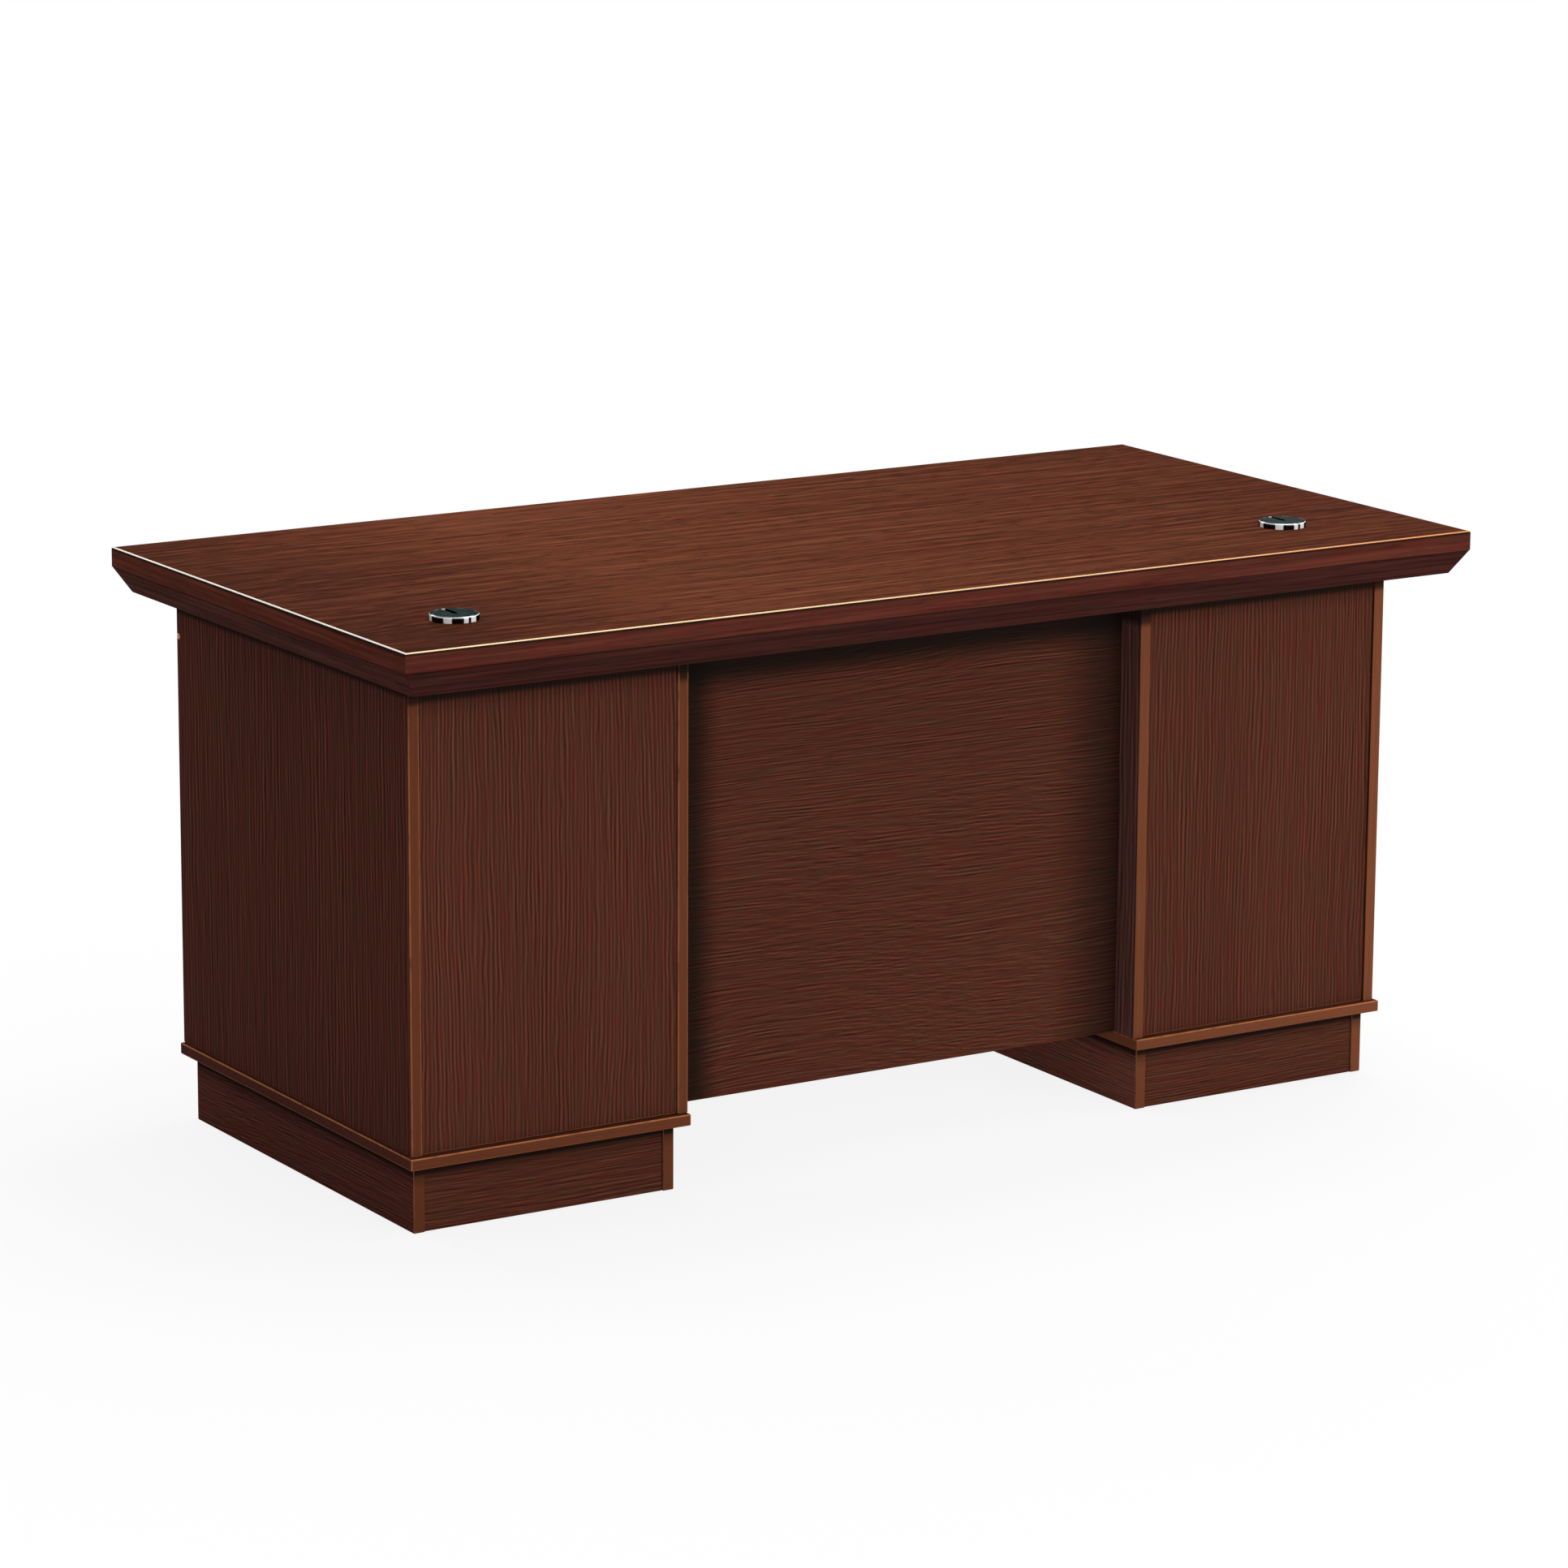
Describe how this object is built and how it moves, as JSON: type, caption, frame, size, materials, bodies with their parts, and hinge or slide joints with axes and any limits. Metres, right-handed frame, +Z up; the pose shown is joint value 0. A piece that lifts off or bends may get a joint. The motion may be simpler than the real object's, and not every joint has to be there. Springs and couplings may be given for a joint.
{
  "type": "office desk",
  "caption": "Double-pedestal office desk in dark red-brown veneer: bevelled top with turning cable lids, plinths, modesty panel, sliding drawers and a hinged cupboard.",
  "frame": {"origin": "on the floor under the middle of the top", "axes": "+X along the length, +Y towards the user's side where the drawers open, +Z up"},
  "size_m": [1.6, 0.8, 0.768],
  "materials": {
    "top_veneer": "gloss lacquered veneer",
    "strip_veneer": "lacquered veneer",
    "panel_veneer": "satin lacquered veneer",
    "modesty_veneer": "satin lacquered veneer",
    "bottom_veneer": "satin lacquered veneer",
    "plinth_veneer": "satin lacquered veneer",
    "inner_board": "plain melamine board",
    "drawer_board": "pale wood-grain board",
    "bright_chrome": "bright plated",
    "zinc_steel": "zinc plated",
    "cap_brass": "polished"
  },
  "bodies": {
    "desk": {"top_board": "top_veneer", "edge_strip_visitor": "strip_veneer", "edge_strip_user": "strip_veneer", "edge_strip_left": "strip_veneer", "edge_strip_right": "strip_veneer", "modesty_panel": "modesty_veneer", "modesty_brackets": "zinc_steel", "top_screws": "zinc_steel", "right_divider": "panel_veneer", "right_shelf": "inner_board", "right_shelf_pins": "zinc_steel", "hinge_fixed_leaves": "zinc_steel", "hinge_pins": "zinc_steel", "left_side_cap": "cap_brass", "left_outer_side": "panel_veneer", "left_inner_side": "panel_veneer", "left_visitor_panel": "panel_veneer", "left_fascia": "panel_veneer", "left_bottom_board": "bottom_veneer", "left_plinth_sides": "plinth_veneer", "left_plinth_ends": "plinth_veneer", "left_top_rails": "inner_board", "left_slide_channels": "zinc_steel", "left_outlet_ring": "bright_chrome", "right_outer_side": "panel_veneer", "right_inner_side": "panel_veneer", "right_visitor_panel": "panel_veneer", "right_fascia": "panel_veneer", "right_bottom_board": "bottom_veneer", "right_plinth_sides": "plinth_veneer", "right_plinth_ends": "plinth_veneer", "right_top_rails": "inner_board", "right_slide_channels": "zinc_steel", "right_outlet_ring": "bright_chrome"},
    "left_upper_drawer": {"left_upper_drawer_front": "panel_veneer", "left_upper_drawer_walls": "drawer_board", "left_upper_drawer_bottom": "drawer_board", "left_upper_drawer_runners": "zinc_steel", "left_upper_drawer_handle": "bright_chrome"},
    "left_middle_drawer": {"left_middle_drawer_front": "panel_veneer", "left_middle_drawer_walls": "drawer_board", "left_middle_drawer_bottom": "drawer_board", "left_middle_drawer_runners": "zinc_steel", "left_middle_drawer_handle": "bright_chrome"},
    "left_lower_drawer": {"left_lower_drawer_front": "panel_veneer", "left_lower_drawer_walls": "drawer_board", "left_lower_drawer_bottom": "drawer_board", "left_lower_drawer_runners": "zinc_steel", "left_lower_drawer_handle": "bright_chrome"},
    "right_drawer": {"right_drawer_front": "panel_veneer", "right_drawer_walls": "drawer_board", "right_drawer_bottom": "drawer_board", "right_drawer_runners": "zinc_steel", "right_drawer_handle": "bright_chrome"},
    "cupboard_door": {"door_panel": "panel_veneer", "door_handle": "bright_chrome", "hinge_moving_leaves": "zinc_steel"},
    "left_lid": {"left_outlet_lid": "bright_chrome"},
    "right_lid": {"right_outlet_lid": "bright_chrome"}
  },
  "joints": [
    {"name": "left_upper_drawer_slide", "type": "slide", "parent": "desk", "child": "left_upper_drawer", "axis": [0, 1, 0], "range_m": [0, 0.34]},
    {"name": "left_middle_drawer_slide", "type": "slide", "parent": "desk", "child": "left_middle_drawer", "axis": [0, 1, 0], "range_m": [0, 0.34]},
    {"name": "left_lower_drawer_slide", "type": "slide", "parent": "desk", "child": "left_lower_drawer", "axis": [0, 1, 0], "range_m": [0, 0.34]},
    {"name": "right_drawer_slide", "type": "slide", "parent": "desk", "child": "right_drawer", "axis": [0, 1, 0], "range_m": [0, 0.34]},
    {"name": "cupboard_door_hinge", "type": "hinge", "parent": "desk", "child": "cupboard_door", "pos_m": [0.72375, 0.3404, 0.313], "axis": [0, 0, -1], "range_deg": [0, 110]},
    {"name": "left_lid_turn", "type": "hinge", "parent": "desk", "child": "left_lid", "pos_m": [-0.648, -0.244, 0.7645], "axis": [0, 0, 1], "continuous": true},
    {"name": "right_lid_turn", "type": "hinge", "parent": "desk", "child": "right_lid", "pos_m": [0.606, -0.244, 0.7645], "axis": [0, 0, 1], "continuous": true}
  ]
}
